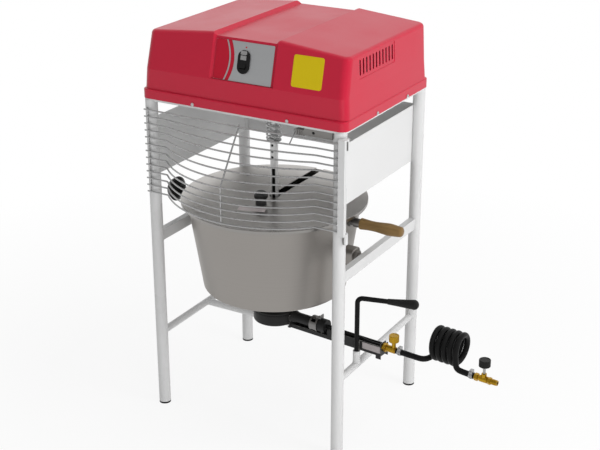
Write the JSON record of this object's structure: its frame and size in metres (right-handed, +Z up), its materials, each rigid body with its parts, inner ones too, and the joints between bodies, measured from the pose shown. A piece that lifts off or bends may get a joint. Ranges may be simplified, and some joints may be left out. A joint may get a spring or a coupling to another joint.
{
  "type": "dough mixer",
  "caption": "Floor-standing dough mixer: a hooded drive turns an agitator in a tipping pot behind a wire guard, over a swing-out gas burner.",
  "frame": {"origin": "on the floor, midway between the four legs", "axes": "+X right along the front, +Y to the back, +Z up"},
  "size_m": [0.9956, 0.5649, 1.063],
  "materials": {
    "white_paint": "gloss enamel",
    "red_paint": "satin gloss enamel",
    "grey_sheet": "satin",
    "black_plastic": "moulded",
    "grey_plastic": "moulded",
    "plate_silver": "printed plate, bare",
    "polished_aluminium": "polished",
    "spun_aluminium": "spun",
    "bright_steel": "bright",
    "dark_steel": "black paint",
    "motor_paint": "paint",
    "cast_iron": "as cast",
    "brass": "machined",
    "rubber": "belt",
    "hose": "black gas hose",
    "wood": "varnished",
    "blade_plastic": "scraper plastic"
  },
  "bodies": {
    "stand": {"leg_front_left": "white_paint", "leg_front_right": "white_paint", "leg_rear_left": "white_paint", "leg_rear_right": "white_paint", "foot_caps": "black_plastic", "deck_plate": "white_paint", "side_panel_left": "grey_sheet", "side_panel_right": "grey_sheet", "rear_panel": "grey_sheet", "pivot_rail_left": "white_paint", "pivot_rail_right": "white_paint", "lower_rail_left": "white_paint", "lower_rail_right": "white_paint", "cross_rail": "white_paint", "burner_socket": "white_paint", "hood": "red_paint", "hood_screws": "bright_steel", "control_panel": "plate_silver", "switch_housing": "black_plastic", "motor": "motor_paint", "drive_belt": "rubber", "gearbox": "cast_iron", "hinge_eyes": "white_paint", "limit_switch": "grey_plastic"},
    "rocker": {"switch_rocker": "grey_plastic"},
    "motor_rotor": {"motor_shaft": "bright_steel", "motor_pulley": "cast_iron"},
    "worm": {"worm_shaft": "bright_steel", "worm_pulley": "cast_iron"},
    "drive": {"drive_tube": "bright_steel", "drive_rod": "dark_steel", "shaft_spring": "bright_steel", "spring_washers": "bright_steel"},
    "pot": {"pot": "spun_aluminium", "trunnions": "spun_aluminium", "handle_ferrule": "bright_steel", "wooden_handle": "wood", "side_knob": "black_plastic"},
    "lid": {"lid": "polished_aluminium", "lid_knob": "black_plastic"},
    "agitator": {"agitator_hub": "bright_steel", "agitator_arms": "bright_steel", "scraper_blades": "blade_plastic"},
    "guard": {"guard_wires": "bright_steel", "guard_channel": "white_paint"},
    "limit_arm": {"limit_lever": "bright_steel"},
    "burner": {"lever_rod": "dark_steel", "lever_grip": "black_plastic", "burner_head": "cast_iron", "venturi": "cast_iron", "burner_arm": "dark_steel", "gas_pipe": "dark_steel", "gas_valve": "brass", "hose_lead": "hose", "hose_coil": "hose", "hose_clamps": "bright_steel", "inlet_valve": "brass"},
    "shutter": {"air_shutter": "bright_steel"},
    "burner_tap": {"gas_knob": "brass"},
    "inlet_tap": {"inlet_knob": "black_plastic"}
  },
  "joints": [
    {"name": "mixer_spin", "type": "hinge", "parent": "stand", "child": "drive", "pos_m": [0, -0.067, 0.7], "axis": [0, 0, 1], "continuous": true},
    {"name": "worm_spin", "type": "hinge", "parent": "stand", "child": "worm", "pos_m": [0.1, -0.017, 0.944], "axis": [1, 0, 0], "continuous": true},
    {"name": "motor_spin", "type": "hinge", "parent": "stand", "child": "motor_rotor", "pos_m": [0.1, 0.122, 0.952], "axis": [1, 0, 0], "continuous": true},
    {"name": "pot_tilt", "type": "hinge", "parent": "stand", "child": "pot", "pos_m": [0, -0.067, 0.498], "axis": [1, 0, 0], "range_deg": [0, 30]},
    {"name": "agitator_spin", "type": "hinge", "parent": "pot", "child": "agitator", "pos_m": [0, -0.067, 0.438], "axis": [0, 0, 1], "continuous": true},
    {"name": "lid_lift", "type": "slide", "parent": "pot", "child": "lid", "axis": [0, 0, 1], "range_m": [0, 0.09]},
    {"name": "guard_swing", "type": "hinge", "parent": "stand", "child": "guard", "pos_m": [0.29209, -0.22397, 0.74], "axis": [0, 0, 1], "range_deg": [0, 120]},
    {"name": "burner_swing", "type": "hinge", "parent": "stand", "child": "burner", "pos_m": [0.2712, -0.113, 0.3], "axis": [0, 0, 1], "range_deg": [0, 60]},
    {"name": "air_shutter_turn", "type": "hinge", "parent": "burner", "child": "shutter", "pos_m": [0.13435, -0.08021, 0.2845], "axis": [0.9952, -0.0978, 0], "range_deg": [0, 60]},
    {"name": "burner_tap_turn", "type": "hinge", "parent": "burner", "child": "burner_tap", "pos_m": [0.37221, -0.10359, 0.3], "axis": [0, 0, 1], "range_deg": [0, 270]},
    {"name": "inlet_tap_turn", "type": "hinge", "parent": "burner", "child": "inlet_tap", "pos_m": [0.62748, -0.12868, 0.3], "axis": [0, 0, 1], "range_deg": [0, 270]},
    {"name": "switch_rock", "type": "hinge", "parent": "stand", "child": "rocker", "pos_m": [0, -0.20356, 1.0018], "axis": [1, 0, 0], "range_deg": [0, 16]},
    {"name": "limit_lever_press", "type": "hinge", "parent": "stand", "child": "limit_arm", "pos_m": [0.14902, -0.213, 0.858], "axis": [1, 0, 0], "range_deg": [0, 12], "stiffness_Nm_per_rad": 0.05}
  ],
  "couplings": [
    {"joint": "worm_spin", "follows": "mixer_spin", "ratio": 12},
    {"joint": "motor_spin", "follows": "mixer_spin", "ratio": 24},
    {"joint": "agitator_spin", "follows": "mixer_spin", "ratio": 1}
  ]
}
